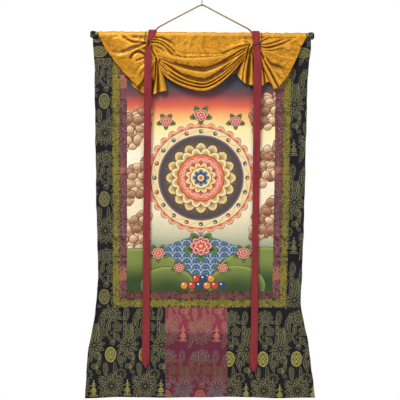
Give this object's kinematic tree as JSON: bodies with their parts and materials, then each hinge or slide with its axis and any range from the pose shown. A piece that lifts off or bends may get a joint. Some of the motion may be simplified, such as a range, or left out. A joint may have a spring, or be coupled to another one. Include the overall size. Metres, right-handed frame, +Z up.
{
  "type": "thangka scroll painting on a wire hook",
  "caption": "Hanging scroll: a painted canvas framed in black, burgundy and olive brocade, with a gathered gold silk cover, two crimson ribbons and a cord on a wire hook.",
  "frame": {"origin": "top of the eye of the wire hook", "axes": "+Z up, -Y out of the painted face, +X to the viewer's right"},
  "size_m": [0.6338, 0.0439, 1.1208],
  "materials": {
    "black_brocade": "woven, satin",
    "burgundy_brocade": "woven, satin",
    "olive_brocade": "woven, satin",
    "painted_canvas": "painted, matte",
    "gold_silk": "silk damask, soft sheen",
    "crimson_ribbon": "woven, satin",
    "cord": "twisted cord",
    "dark_cord": "twisted cord",
    "wire": "dark wire"
  },
  "bodies": {
    "root": {"painting": "painted_canvas", "inner_left": "burgundy_brocade", "inner_right": "burgundy_brocade", "inner_top": "burgundy_brocade", "inner_bottom": "burgundy_brocade", "middle_left": "olive_brocade", "middle_right": "olive_brocade", "middle_top": "olive_brocade", "middle_bottom": "olive_brocade", "head_panel": "black_brocade", "side_left": "black_brocade", "side_right": "black_brocade", "apron_left": "black_brocade", "apron_centre": "burgundy_brocade", "apron_right": "black_brocade", "head_roll": "black_brocade", "ribbon_left": "crimson_ribbon", "ribbon_right": "crimson_ribbon", "silk_cover": "gold_silk", "tie_left": "dark_cord", "tie_right": "dark_cord", "hanging_cord": "cord", "wire_hook": "wire"}
  },
  "joints": []
}
